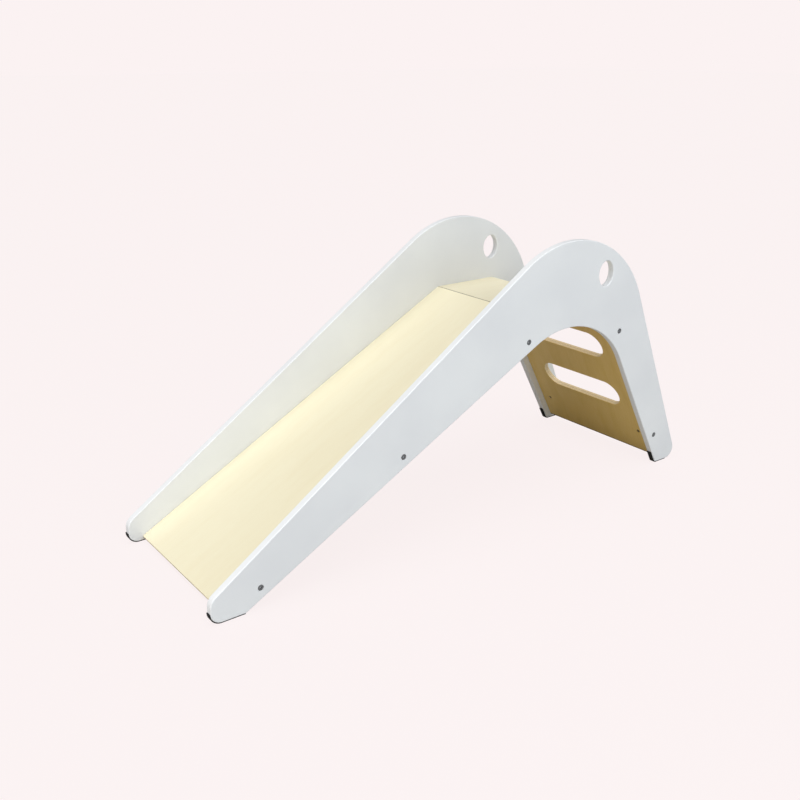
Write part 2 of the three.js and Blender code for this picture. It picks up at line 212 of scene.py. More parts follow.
def blindBore(bm, centre, radius, depth, faceHeight, inward, chamfer, segments=32):
    ring = circleLoop(bm, centre, radius + chamfer, radius + chamfer, faceHeight, segments)
    face = filled(bm, ring, -inward)
    bmesh.ops.inset_individual(bm, faces=[face], thickness=chamfer, depth=-chamfer, use_even_offset=True)
    grown = bmesh.ops.extrude_face_region(bm, geom=[face])["geom"]
    drop = Vector((0, 0, inward * (depth - chamfer)))
    bmesh.ops.translate(bm, verts=only(bmesh.types.BMVert, grown), vec=drop)
    bmesh.ops.delete(bm, geom=[face], context="FACES_ONLY")


def level(edge):
    return abs(edge.verts[0].co.z - edge.verts[1].co.z) < tiny


def plate(outline, thickness, rim, segments, holes=(), bores=()):
    # a flat sheet, top face at height 0: its rims are rounded before the faces are closed
    bm = bmesh.new()
    edges = closedLoop(bm, outline)
    cap = bmesh.ops.edgeloop_fill(bm, edges=edges)["faces"]
    grown = bmesh.ops.extrude_face_region(bm, geom=cap, use_keep_orig=True)
    bmesh.ops.translate(bm, verts=only(bmesh.types.BMVert, grown["geom"]), vec=(0, 0, -thickness))
    bmesh.ops.recalc_face_normals(bm, faces=bm.faces)
    rims = [e for e in bm.edges if level(e)]
    easeEdges(bm, rims, rim, segments)
    bm.normal_update()
    caps = [f for f in bm.faces if abs(f.normal.z) > flatFace]
    bmesh.ops.delete(bm, geom=caps, context="FACES_ONLY")
    for ringAt in holes:
        throughHole(bm, ringAt, thickness, rim, segments)
    for bore in bores:
        blindBore(bm, **bore)
    for height, normal in ((0, 1), (-thickness, -1)):
        rims = [e for e in bm.edges if e.is_boundary and all(abs(v.co.z - height) < tiny for v in e.verts)]
        bmesh.ops.triangle_fill(bm, use_beauty=True, use_dissolve=False, normal=(0, 0, normal), edges=rims)
    bmesh.ops.remove_doubles(bm, verts=bm.verts, dist=tiny)
    bmesh.ops.recalc_face_normals(bm, faces=bm.faces)
    return bm


def cutAt(bm, point, normal, **settings):
    geom = bm.verts[:] + bm.edges[:] + bm.faces[:]
    return bmesh.ops.bisect_plane(bm, geom=geom, dist=tiny, plane_co=point, plane_no=normal, **settings)


def trim(bm, point, normal, ease):
    # cuts off what lies past a plane, closes the cut and eases its edges
    cut = cutAt(bm, point, normal, clear_outer=True)
    edges = only(bmesh.types.BMEdge, cut["geom_cut"])
    bmesh.ops.holes_fill(bm, edges=edges, sides=0)
    bmesh.ops.recalc_face_normals(bm, faces=bm.faces)
    sharp = [e for e in edges if e.is_valid and e.calc_face_angle(0) > cutCorner]
    easeEdges(bm, sharp, ease, 2)


def rememberFlat(bm):
    # each vertex keeps its place in the flat sheet, so that grain and plies follow the bend
    layer = bm.verts.layers.float_vector.new("sheetPlace")
    for vert in bm.verts:
        vert[layer] = vert.co


def labelOf(node):
    first, *rest = node.split("_")
    return first + "".join(word.capitalize() for word in rest)


def standUp(outerY):
    # stands a flat sheet up, its top face outward at the left-hand side
    return Matrix(((1, 0, 0, 0), (0, 0, -1, outerY), (0, 1, 0, 0), (0, 0, 0, 1)))


def finished(bm, node, material, name=None, weighted=True):
    # a mesh becomes the piece that stands for one node of the frame
    name = name or labelOf(node)
    bmesh.ops.remove_doubles(bm, verts=bm.verts, dist=tiny)
    bm.normal_update()
    for face in bm.faces:
        face.smooth = True
    for edge in bm.edges:
        edge.smooth = edge.calc_face_angle(0) < sharpFrom
    mesh = bpy.data.meshes.new(name)
    bm.to_mesh(mesh)
    bm.free()
    piece = bpy.data.objects.new(name, mesh)
    bpy.context.scene.collection.objects.link(piece)
    mesh.materials.append(material)
    if weighted:
        shading = piece.modifiers.new("shading", "WEIGHTED_NORMAL")
        shading.keep_sharp = True
        shading.weight = shadingWeight
    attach(piece, "root")
    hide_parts(node)


def mirrored(bm):
    other = bm.copy()
    bmesh.ops.scale(other, verts=other.verts, vec=(1, -1, 1))
    bmesh.ops.reverse_faces(other, faces=other.faces)
    return other


def srgb(red, green, blue):
    # a screen colour of 0 to 255 as the linear colour that shaders take
    def lin(value):
        value = value / 255
        return value / 12.92 if value <= 0.04045 else ((value + 0.055) / 1.055) ** 2.4
    return lin(red), lin(green), lin(blue), 1.0


def newMaterial(name):
    material = bpy.data.materials.new(name)
    material.use_nodes = True
    tree = material.node_tree
    return material, tree, tree.nodes["Principled BSDF"]


def add(tree, kind, inputs=None, **settings):
    made = tree.nodes.new("ShaderNode" + kind)
    for name, value in settings.items():
        setattr(made, name, value)
    for name, value in (inputs or {}).items():
        socket = made.inputs[name]
        if isinstance(value, bpy.types.NodeSocket):
            tree.links.new(value, socket)
        else:
            socket.default_value = value
    return made


def objectPlace(tree):
    return add(tree, "TexCoord").outputs["Object"]


def split(tree, vector):
    return add(tree, "SeparateXYZ", {"Vector": vector}).outputs


def calc(tree, operation, a, b=0.0):
    return add(tree, "Math", {0: a, 1: b}, operation=operation).outputs[0]


def ranged(tree, value, fromLow, fromHigh, toLow, toHigh):
    return add(tree, "MapRange", {"Value": value, "From Min": fromLow, "From Max": fromHigh,
                                  "To Min": toLow, "To Max": toHigh}).outputs["Result"]


def blendColour(tree, factor, a, b):
    made = add(tree, "Mix", data_type="RGBA", blend_type="MIX")
    for index, value in ((0, factor), (6, a), (7, b)):
        if isinstance(value, bpy.types.NodeSocket):
            tree.links.new(value, made.inputs[index])
        else:
            made.inputs[index].default_value = value
    return made.outputs[2]


def noiseAt(tree, vector, stretch, scale, detail, roughness=0.5, distortion=0.0):
    mapping = add(tree, "Mapping", {"Vector": vector, "Scale": stretch})
    return add(tree, "TexNoise", {"Vector": mapping.outputs[0], "Scale": scale, "Detail": detail,
                                  "Roughness": roughness, "Distortion": distortion}).outputs["Fac"]


def bumpFrom(tree, height, strength, distance, normal=None):
    inputs = {"Height": height, "Strength": strength, "Distance": distance}
    if normal is not None:
        inputs["Normal"] = normal
    return add(tree, "Bump", inputs).outputs[0]


def plug(tree, shader, name, socket):
    tree.links.new(socket, shader.inputs[name])


def lacquered(shader, finish):
    shader.inputs["Specular IOR Level"].default_value = finish["specular"]
    shader.inputs["Coat Weight"].default_value = finish["coat"]
    shader.inputs["Coat Roughness"].default_value = finish["coatRoughness"]


# A noise is its stretch, scale and detail, then its roughness and distortion where they aren't plain.
# A relief is its strength and its depth in metres.
even = (1, 1, 1)                   # a noise that isn't stretched
middling = (0.3, 0.7)              # where most of a noise lies


panel = {
    "thickness": panelHigh.y - panelLow.y,
    "noseRadius": 0.030,
    "noseHeight": 0.0364,
    "toeRadius": 0.024,
    "heelRadius": 0.008,
    "domeRadius": 0.272,
    "domeInset": 0.454,
    "archRadius": 0.227,
    "footRadius": 0.028,
    "legCornerRadius": 0.009,
    "lowerEdgeDepth": 0.032,
    "legEdgeDepth": 0.0265,
    "rim": 0.0025,
    "rimSegments": 5,
    "handleWidth": 0.050,
    "handleHeight": 0.064,
    "handleEdgeDepth": 0.060,
    "handleAngle": math.radians(56.6),
    "handleSegments": 88,
    "sinkingRadius": 0.0070,
    "sinkingDepth": 0.0028,
    "sinkingChamfer": 0.0004,
}

paint = {
    "white": srgb(243, 245, 247),
    "shade": srgb(237, 239, 242),
    "mottle": (even, 5, 3),
    "mottleRange": (0.35, 0.65),
    "grain": ((6, 1, 110), 4, 4, 0.6),
    "grainRelief": (0.10, 0.00018),
    "peel": (even, 420, 2),
    "peelRelief": (0.07, 0.00012),
    "plies": 13,
    "plyRelief": (0.05, 0.00006),
    "roughness": (0.40, 0.52),
    "specular": 0.42,
    "coat": 0.08,
    "coatRoughness": 0.3,
}

floorLine = lineThrough(Vector((0, panelLow.z)), down)
noseLine = lineThrough(Vector((panelLow.x, 0)), left)
lowerEdge = lineThrough(seam - polar(slope + up, panel["lowerEdgeDepth"]), slope + down)
legPoint = standing("bolt_ladder_foot_left") - polar(ladderOut, panel["legEdgeDepth"])
legEdge = lineThrough(legPoint, ladderOut + left)
noseCentre = Vector((panelLow.x + panel["noseRadius"], panelLow.z + panel["noseHeight"]))
domeCentre = Vector((panelHigh.x - panel["domeInset"], panelHigh.z - panel["domeRadius"]))
footCentre = Vector((panelHigh.x - panel["footRadius"], panelLow.z + panel["footRadius"]))
guardLine = beltLine(noseCentre, panel["noseRadius"], domeCentre, panel["domeRadius"])
rearLine = beltLine(domeCentre, panel["domeRadius"], footCentre, panel["footRadius"])

panelOutline = [
    roundAt(noseCentre, panel["noseRadius"], noseLine, guardLine),
    roundAt(domeCentre, panel["domeRadius"], guardLine, rearLine),
    roundAt(footCentre, panel["footRadius"], rearLine, floorLine),
    roundCorner(floorLine, legEdge, panel["legCornerRadius"]),
    hollowCorner(legEdge, lowerEdge, panel["archRadius"]),
    roundCorner(lowerEdge, floorLine, panel["heelRadius"]),
    roundCorner(floorLine, noseLine, panel["toeRadius"]),
]


def handleRing(bm, extra, height):
    centre = domeCentre + polar(panel["handleAngle"], panel["domeRadius"] - panel["handleEdgeDepth"])
    across = panel["handleWidth"] / 2 + extra
    upright = panel["handleHeight"] / 2 + extra
    return circleLoop(bm, centre, across, upright, height, panel["handleSegments"])


boltNames = ["slide_1", "slide_2", "slide_3", "ladder_foot", "ladder_head"]


def paintMaterial():
    # satin lacquer over birch: a fine orange peel, grain that barely shows, plies that show at the edge
    material, tree, shader = newMaterial("panelPaint")
    place = objectPlace(tree)
    mottle = noiseAt(tree, place, *paint["mottle"])
    grain = noiseAt(tree, place, *paint["grain"])
    peel = noiseAt(tree, place, *paint["peel"])
    plyTurn = 2 * math.pi * paint["plies"] / panel["thickness"]
    plyWave = calc(tree, "SINE", calc(tree, "MULTIPLY", split(tree, place)["Y"], plyTurn))
    cloud = ranged(tree, mottle, *paint["mottleRange"], 0, 1)
    plug(tree, shader, "Base Color", blendColour(tree, cloud, paint["shade"], paint["white"]))
    plug(tree, shader, "Roughness", ranged(tree, mottle, *middling, *paint["roughness"]))
    lacquered(shader, paint)
    relief = bumpFrom(tree, plyWave, *paint["plyRelief"])
    relief = bumpFrom(tree, grain, *paint["grainRelief"], relief)
    plug(tree, shader, "Normal", bumpFrom(tree, peel, *paint["peelRelief"], relief))
    return material


def makeSidePanels(material):
    bores = [{"centre": standing(f"bolt_{name}_left"), "radius": panel["sinkingRadius"],
              "depth": panel["sinkingDepth"], "faceHeight": 0, "inward": -1,
              "chamfer": panel["sinkingChamfer"]} for name in boltNames]
    bm = plate(panelOutline, panel["thickness"], panel["rim"], panel["rimSegments"], [handleRing], bores)
    bmesh.ops.transform(bm, matrix=standUp(panelLow.y), verts=bm.verts)
    other = mirrored(bm)
    finished(bm, "side_panel_left", material)
    finished(other, "side_panel_right", material)


makeSidePanels(paintMaterial())
print("side panels made")


nut = {
    "radius": 0.005,
    "clearance": 0.0003,
    "skin": 0.002,                 # wood left over a nut's blind end
    "boreChamfer": 0.0003,
    "slotWidth": 0.0014,
    "slotDepth": 0.0012,
    "segments": 32,
    "chamfer": 0.0004,
    "upward": 0.3,                 # how far a face must look up to be part of the slot's strip
    # steel darkened as painted shade for nuts sunk in their bores
    "tint": srgb(112, 111, 106),
    "darkTint": srgb(78, 77, 73),
    "roughness": (0.4, 0.6),
}

birch = {
    "face": srgb(244, 238, 210),
    "faceDark": srgb(238, 228, 195),
    "fleck": srgb(214, 192, 146),
    # the back face's darker, golden tone: partly the veneer's own colour, partly painted shade for the dim
    # light under the boards
    "back": srgb(246, 214, 138),
    "backDark": srgb(230, 195, 106),
    "edgeLight": srgb(250, 238, 204),
    "edgeDark": srgb(222, 192, 138),
    "glueLine": srgb(150, 112, 66),
    # painted shade for the seam's gap, and the dark line along the ladder's low edge
    "sealedEnd": srgb(70, 50, 26),
    "fibres": ((5, 190, 400), 6, 5, 0.62),
    "figure": ((1.3, 11, 60), 3.2, 3, 0.5, 0.6),
    "cloud": ((1, 1.6, 1), 3.5, 2),
    "flecks": ((24, 420, 200), 5, 2),
    "faceShares": (0.55, 0.40, 0.22, 0.18),    # of fibres, figure, flecks and cloud
    "backShares": (0.7, 0.5),      # of fibres and figure
    "edgeShares": (0.35, 0.55, 0.6),   # of fibres, glue and core
    "fibreRange": (0.35, 0.70),
    "figureRange": (0.45, 0.75),
    "fleckRange": (0.66, 0.78),
    "plySpread": (0.999, 0.005),   # keeps both faces clear of a ply's end
    "veneer": 0.5,                 # how deep the faces' colour goes, in plies
    "glueWidth": 0.10,             # in plies
    "corePly": 0.5,                # in plies each way from the sheet's middle
    "jointWidth": 0.0011,          # painted shade of the gap, a dark line each side of the seam
    "jointShade": 0.7,
    "footLine": 0.0035,            # dark line along the ladder's low edge
    "footShade": 0.8,
    "fibreRelief": (0.10, 0.00015),
    "plyRelief": (0.12, 0.00008),
    "roughness": (0.36, 0.50),
    "specular": 0.4,
    "coat": 0.12,
    "coatRoughness": 0.32,
}


def birchMaterial(name):
    # lacquered birch ply: fine grain along the sheet, a golden back face whose darker tone is partly the
    # veneer's own and partly painted shade, plies where it is cut
    material, tree, shader = newMaterial(name)

    def tinted(amount, strength, colour, tone):
        return blendColour(tree, calc(tree, "MULTIPLY", amount, strength), colour, tone)

    place = add(tree, "Attribute", attribute_type="GEOMETRY", attribute_name="sheetPlace").outputs["Vector"]
    spread, start = birch["plySpread"]
    perMetre = -board["plies"] * spread / board["thickness"]
    depth = calc(tree, "ADD", calc(tree, "MULTIPLY", split(tree, place)["Z"], perMetre), start)
    veneer = birch["veneer"]
    inside = calc(tree, "GREATER_THAN", depth, veneer)
    behind = calc(tree, "GREATER_THAN", depth, board["plies"] - veneer)
    cutFace = calc(tree, "SUBTRACT", inside, behind)
    crossPly = calc(tree, "MODULO", calc(tree, "FLOOR", depth), 2)
    glue = calc(tree, "LESS_THAN", calc(tree, "FRACT", depth), birch["glueWidth"])
    glue = calc(tree, "MULTIPLY", glue, inside)
    fromCore = calc(tree, "ABSOLUTE", calc(tree, "SUBTRACT", depth, board["plies"] / 2))
    core = calc(tree, "LESS_THAN", fromCore, birch["corePly"])

    fibres = noiseAt(tree, place, *birch["fibres"])
    fibreMarks = ranged(tree, fibres, *birch["fibreRange"], 0, 1)
    figure = ranged(tree, noiseAt(tree, place, *birch["figure"]), *birch["figureRange"], 0, 1)
    flecks = ranged(tree, noiseAt(tree, place, *birch["flecks"]), *birch["fleckRange"], 0, 1)
    cloud = ranged(tree, noiseAt(tree, place, *birch["cloud"]), *middling, 0, 1)

    face = birch["face"]
    tones = (birch["faceDark"], birch["faceDark"], birch["fleck"], birch["faceDark"])
    for amount, share, tone in zip((fibreMarks, figure, flecks, cloud), birch["faceShares"], tones):
        face = tinted(amount, share, face, tone)
    back = birch["back"]
    for amount, share in zip((fibreMarks, figure), birch["backShares"]):
        back = tinted(amount, share, back, birch["backDark"])
    edge = blendColour(tree, crossPly, birch["edgeLight"], birch["edgeDark"])
    tones = (birch["edgeDark"], birch["glueLine"], birch["glueLine"])
    streaks = ranged(tree, fibres, *middling, 0, 1)
    for amount, share, tone in zip((streaks, glue, core), birch["edgeShares"], tones):
        edge = tinted(amount, share, edge, tone)
    colour = blendColour(tree, cutFace, blendColour(tree, behind, face, back), edge)

    solid = split(tree, objectPlace(tree))
    fromSeam = calc(tree, "SUBTRACT", solid["X"], seam.x)
    seamShadow = calc(tree, "LESS_THAN", calc(tree, "ABSOLUTE", fromSeam), birch["jointWidth"])
    foot = calc(tree, "LESS_THAN", solid["Z"], deckLow.z + birch["footLine"])
    foot = calc(tree, "MULTIPLY", foot, calc(tree, "GREATER_THAN", fromSeam, 0))
    # painted shade along the seam between the slide board and the deck
    colour = tinted(seamShadow, birch["jointShade"], colour, birch["sealedEnd"])
    colour = tinted(foot, birch["footShade"], colour, birch["sealedEnd"])
    plug(tree, shader, "Base Color", colour)
    plug(tree, shader, "Roughness", ranged(tree, fibres, *middling, *birch["roughness"]))
    lacquered(shader, birch)
    relief = bumpFrom(tree, fibres, *birch["fibreRelief"])
    plug(tree, shader, "Normal", bumpFrom(tree, crossPly, *birch["plyRelief"], relief))
    return material


def boardOutline(start, end):
    half = board["half"]
    sidesOf = [lineThrough(Vector((end, 0)), 0), lineThrough(Vector((0, -half)), down),
               lineThrough(Vector((start, 0)), left), lineThrough(Vector((0, half)), up)]
    return [roundCorner(a, b, board["cornerRadius"]) for a, b in zip(sidesOf, sidesOf[1:] + sidesOf[:1])]


def nutBores(names, runOf, acrossSign):
    # blind bores for the barrel nuts, on the sheet's lower face
    bores = []
    for side in ("left", "right"):
        for name in names:
            middle = centreOf(f"barrel_nut_{name}_{side}")
            centre = Vector((runOf(Vector((middle.x, middle.z))), acrossSign * middle.y))
            bores.append({"centre": centre, "radius": nut["radius"] + nut["clearance"],
                          "depth": board["thickness"] - nut["skin"], "faceHeight": -board["thickness"],
                          "inward": 1, "chamfer": nut["boreChamfer"]})
    return bores


def mitred(bm, length):
    # both boards meet on the plane that halves the angle between them
    mitre = slope / 2
    normal = (math.cos(mitre), 0, -math.sin(mitre))
    trim(bm, (length - board["gap"], 0, 0), normal, board["seamEase"])


def makeSlideBoard(material):
    slideStart = meet(slideTop, lineThrough(Vector((slideLow.x, 0)), left))
    length = (seam - slideStart).length

    def runOf(point):
        return (point - slideStart).dot(polar(slope))

    bores = nutBores(["slide_1", "slide_2", "slide_3"], runOf, 1)
    bm = plate(boardOutline(0, length + spare), board["thickness"], board["rim"], board["rimSegments"],
               bores=bores)
    mitred(bm, length)
    lowest = slideLow.z - slideStart.y
    floorNormal = (-math.sin(slope), 0, -math.cos(slope))
    floorPoint = (lowest * math.sin(slope), 0, lowest * math.cos(slope))
    trim(bm, floorPoint, floorNormal, board["endEase"])
    rememberFlat(bm)
    along, normal = polar(slope), polar(slope + up)
    placed = Matrix(((along.x, 0, normal.x, slideStart.x), (0, 1, 0, 0),
                     (along.y, 0, normal.y, slideStart.y), (0, 0, 0, 1)))
    bmesh.ops.transform(bm, matrix=placed, verts=bm.verts)
    finished(bm, "slide_board", material)


ladder = {
    "slotWidth": 0.084,
    "slotEndMargin": 0.0625,
    "slotMiddles": (0.2202, 0.3985),   # up the ladder's middle from where it would reach the floor
}


def makeDeckAndLadder(material):
    bend = board["bendRadius"]
    bendCentre = meet(moved(deckTop, -halfSheet - bend), moved(ladderMiddle, -bend))
    ladderUp = polar(ladderAngle)
    lowPoint = Vector((0, deckLow.z + halfSheet * math.sin(ladderOut)))
    start = meet(ladderMiddle, lineThrough(lowPoint, up))
    footPoint = meet(ladderMiddle, floorLine)
    bendStart = (bendCentre - start).dot(ladderUp)
    bendTurn = up - ladderOut
    bendEnd = bendStart + bend * bendTurn
    length = bendEnd + bendCentre.x - seam.x

    def runOf(point):
        return (point - start).dot(ladderUp)

    def bent(co):
        offset = co.z + halfSheet
        if co.x <= bendStart:
            place = start + ladderUp * co.x + polar(ladderOut, offset)
        elif co.x < bendEnd:
            place = bendCentre + polar(ladderOut + (co.x - bendStart) / bend, bend + offset)
        else:
            place = Vector((bendCentre.x - (co.x - bendEnd), deckHigh.z - halfSheet + offset))
        return Vector((place.x, -co.y, place.y))

    def slotRing(middle):
        run = runOf(footPoint + ladderUp * middle)
        reach = board["half"] + board["gap"] - ladder["slotEndMargin"] - ladder["slotWidth"] / 2

        def ring(bm, extra, height):
            radius = ladder["slotWidth"] / 2 + extra
            near, far = Vector((run, reach)), Vector((run, -reach))
            return closedLoop(bm, [(near, radius, 0, math.pi), (far, radius, math.pi, math.pi)], height)
        return ring

    bores = nutBores(["ladder_foot", "ladder_head"], runOf, -1)
    slots = [slotRing(middle) for middle in ladder["slotMiddles"]]
    bm = plate(boardOutline(0, length + spare), board["thickness"], board["rim"], board["rimSegments"],
               slots, bores)
    mitred(bm, length)
    for i in range(board["bendSteps"] + 1):
        run = bendStart + (bendEnd - bendStart) * i / board["bendSteps"]
        cutAt(bm, (run, 0, 0), (1, 0, 0))
    rememberFlat(bm)
    for vert in bm.verts:
        vert.co = bent(vert.co)
    finished(bm, "deck_ladder_panel", material, "deckAndLadder")


birchPly = birchMaterial("birchPly")
makeSlideBoard(birchPly)
makeDeckAndLadder(birchPly)
print("slide board, deck and ladder made")


pad = {
    "rearRise": 0.033,
    "toeRise": 0.001,              # above the toe's round
    "gap": 0.0003,
    "rim": 0.0006,
    "rimSegments": 3,
    "tip": 0.0004,
    "black": srgb(16, 16, 17),
    "dusty": srgb(34, 33, 32),
    "dust": (even, 60, 3),
    "dustRange": (0.4, 0.8),
    "mostDust": 0.5,
    "grain": (even, 1500, 2),
    "grainRelief": (0.3, 0.0002),
    "roughness": (0.72, 0.9),
}


def rubberMaterial():
    # matt rubber with a little dust
    material, tree, shader = newMaterial("padRubber")
    place = objectPlace(tree)
    dust = noiseAt(tree, place, *pad["dust"])
    grain = noiseAt(tree, place, *pad["grain"])
    dusted = ranged(tree, dust, *pad["dustRange"], 0, pad["mostDust"])
    plug(tree, shader, "Base Color", blendColour(tree, dusted, pad["black"], pad["dusty"]))
    plug(tree, shader, "Roughness", ranged(tree, dust, *middling, *pad["roughness"]))
    plug(tree, shader, "Normal", bumpFrom(tree, grain, *pad["grainRelief"]))
    return material


def makePads(material):
    low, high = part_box("toe_pad_left")
    thickness = panelLow.z - low.z - pad["gap"]
    width = high.y - low.y
    heelX = high.x
    outward = pad["gap"] + thickness

    def stripPad(kind, outline):
        bm = plate(outline, width, pad["rim"], pad["rimSegments"])
        for side in ("left", "right"):
            node = f"{kind}_{side}"
            piece = bm.copy()
            bmesh.ops.transform(piece, matrix=standUp(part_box(node)[0].y), verts=piece.verts)
            finished(piece, node, material)
        bm.free()

    tip = pad["tip"]
    toeCentre = meet(moved(floorLine, -panel["toeRadius"]), moved(noseLine, -panel["toeRadius"]))
    bottom, top = moved(floorLine, outward), moved(floorLine, pad["gap"])
    heelCap = lineThrough(Vector((heelX, 0)), 0)
    toeTop = lineThrough(Vector((0, toeCentre.y + pad["toeRise"])), up)
    front, back = moved(noseLine, outward), moved(noseLine, pad["gap"])
    toeOutline = [
        roundCorner(toeTop, front, tip),
        (toeCentre, panel["toeRadius"] + outward, left, math.pi / 2),
        roundCorner(bottom, heelCap, tip),
        roundCorner(heelCap, (up, -top[1]), tip),
        (toeCentre, panel["toeRadius"] + pad["gap"], left + math.pi / 2, -math.pi / 2),
        roundCorner((0.0, -back[1]), toeTop, tip),
    ]
    stripPad("toe_pad", toeOutline)

    cornerRadius = panel["legCornerRadius"]
    legCentre = meet(moved(floorLine, -cornerRadius), moved(legEdge, -cornerRadius))
    turn = shortTurn(legEdge[0], down)
    legTop = lineThrough(Vector((0, panelLow.z + pad["rearRise"])), up)
    rearCap = lineThrough(Vector((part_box("rear_pad_left")[1].x, 0)), 0)
    outerLeg, innerLeg = moved(legEdge, outward), moved(legEdge, pad["gap"])
    flippedLeg = (innerLeg[0] + math.pi, -innerLeg[1])
    rearOutline = [
        roundCorner(legTop, outerLeg, tip),
        (legCentre, cornerRadius + outward, legEdge[0], turn),
        roundCorner(bottom, rearCap, tip),
        roundCorner(rearCap, (up, -top[1]), tip),
        (legCentre, cornerRadius + pad["gap"], legEdge[0] + turn, -turn),
        roundCorner(flippedLeg, legTop, tip),
    ]
    stripPad("rear_pad", rearOutline)


makePads(rubberMaterial())
print("pads made")


bolt = {
    "headRadius": 0.0065,
    "headChamfer": 0.0006,
    "headThickness": 0.0022,
    "shankRadius": 0.003,
    "length": 0.0545,
    "socket": 0.0023,              # corner radius of the hexagon socket
    "socketDepth": 0.003,
    "socketLip": 0.0002,
    "dimple": 0.0006,              # drill mark at the socket's foot
    "flat": 0.0012,                # flat land round the socket
    "ease": 0.0003,
    "tipChamfer": 0.001,
    "fillet": 0.0002,              # under the head
    "segments": 36,
    "firstTurn": math.radians(17),
    "nextTurn": math.radians(31),
    "tint": srgb(156, 158, 162),
    "darkTint": srgb(122, 124, 128),
    "roughness": (0.30, 0.45),
}

steel = {
    "wear": (even, 220, 3),
    "wearRange": (0.35, 0.7),
    "texture": (even, 2400, 2),
    "textureRelief": (0.12, 0.00005),
}


def steelMaterial(name, finish):
    # plated steel with a slight mottle; the nuts' steel is darkened as painted shade
    material, tree, shader = newMaterial(name)
    place = objectPlace(tree)
    wear = noiseAt(tree, place, *steel["wear"])
    texture = noiseAt(tree, place, *steel["texture"])
    worn = ranged(tree, wear, *steel["wearRange"], 0, 1)
    plug(tree, shader, "Base Color", blendColour(tree, worn, finish["darkTint"], finish["tint"]))
    shader.inputs["Metallic"].default_value = 1.0
    plug(tree, shader, "Roughness", ranged(tree, wear, *middling, *finish["roughness"]))
    plug(tree, shader, "Normal", bumpFrom(tree, texture, *steel["textureRelief"]))
    return material


def turned(profile, segments):
    # spins a profile of (radius, height) points into a body about the z axis
    bm = bmesh.new()
    verts = [bm.verts.new((radius, 0, height)) for radius, height in profile]
    edges = [bm.edges.new(pair) for pair in zip(verts, verts[1:])]
    bmesh.ops.spin(bm, geom=verts + edges, cent=(0, 0, 0), axis=(0, 0, 1), dvec=(0, 0, 0),
                   angle=2 * math.pi, steps=segments, use_merge=True, use_duplicate=False)
    bmesh.ops.remove_doubles(bm, verts=bm.verts, dist=tiny)
    return bm


def hexagonRing(bm, radius, height, perSide):
    made = bmesh.ops.create_circle(bm, cap_ends=False, segments=6, radius=radius,
                                   matrix=Matrix.Translation((0, 0, height)))
    edges = list({edge for vert in made["verts"] for edge in vert.link_edges})
    bmesh.ops.subdivide_edges(bm, edges=edges, cuts=perSide - 1)
    return [e for e in bm.edges if not e.link_faces and all(abs(v.co.z - height) < tiny for v in e.verts)]


def boltBody():
    # head up, its top at height 0, with a hexagon socket sunk in it
    head, shank, chamfer = bolt["headRadius"], bolt["shankRadius"], bolt["headChamfer"]
    under, ease, fillet = -bolt["headThickness"], bolt["ease"], bolt["fillet"]
    tip, tipTop = under - bolt["length"], under - bolt["length"] + bolt["tipChamfer"]
    profile = [(0, tip), (shank - bolt["tipChamfer"], tip), (shank, tipTop), (shank, under - fillet),
               (shank + fillet, under), (head - ease, under), (head, under + ease), (head, -chamfer)]
    bend = Vector((head - chamfer, -chamfer))
    profile += [bend + polar(up * step / 4, chamfer) for step in (1, 2, 3, 4)]
    bm = turned(profile + [(bolt["socket"] + bolt["flat"], 0)], bolt["segments"])
    rim = [e for e in bm.edges if e.is_boundary]
    perSide = bolt["segments"] // 6
    rings = [hexagonRing(bm, bolt["socket"] + bolt["socketLip"], -ease / 10, perSide),
             hexagonRing(bm, bolt["socket"], -ease, perSide),
             hexagonRing(bm, bolt["socket"], -bolt["socketDepth"], perSide)]
    for outer, inner in zip([rim] + rings, rings):
        bmesh.ops.bridge_loops(bm, edges=outer + inner)
    cap = bmesh.ops.edgeloop_fill(bm, edges=rings[-1])["faces"]
    bmesh.ops.poke(bm, faces=cap, offset=-bolt["dimple"])
    bmesh.ops.recalc_face_normals(bm, faces=bm.faces)
    return bm


def makeBolts(material):
    body = boltBody()
    for side, sign in (("left", -1), ("right", 1)):
        facing = Matrix.Rotation(-sign * math.pi / 2, 4, "X")
        for i, name in enumerate(boltNames):
            node = f"bolt_{name}_{side}"
            low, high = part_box(node)
            spot = centreOf(node)
            spot.y = low.y if sign < 0 else high.y
            driven = Matrix.Rotation(bolt["firstTurn"] + bolt["nextTurn"] * i, 4, "Z")
            piece = body.copy()
            bmesh.ops.transform(piece, matrix=Matrix.Translation(spot) @ facing @ driven, verts=piece.verts)
            finished(piece, node, material)
    body.free()


makeBolts(steelMaterial("boltSteel", bolt))
print("bolts made")


def nutBody(length):
    # a slotted plug along z, its slot across the top end
    bm = bmesh.new()
    bmesh.ops.create_cone(bm, cap_ends=True, cap_tris=False, segments=nut["segments"], depth=length,
                          radius1=nut["radius"], radius2=nut["radius"])
    rims = [e for e in bm.edges if level(e)]
    easeEdges(bm, rims, nut["chamfer"], 2)
    half = nut["slotWidth"] / 2
    for across in (-half, half):
        cutAt(bm, (across, 0, 0), (1, 0, 0))
    bm.normal_update()
    strip = [f for f in bm.faces if f.normal.z > nut["upward"] and abs(f.calc_center_median().x) < half]
    grown = bmesh.ops.extrude_face_region(bm, geom=strip)
    bmesh.ops.translate(bm, verts=only(bmesh.types.BMVert, grown["geom"]), vec=(0, 0, -nut["slotDepth"]))
    bmesh.ops.delete(bm, geom=[f for f in strip if f.is_valid], context="FACES")
    bmesh.ops.recalc_face_normals(bm, faces=bm.faces)
    return bm


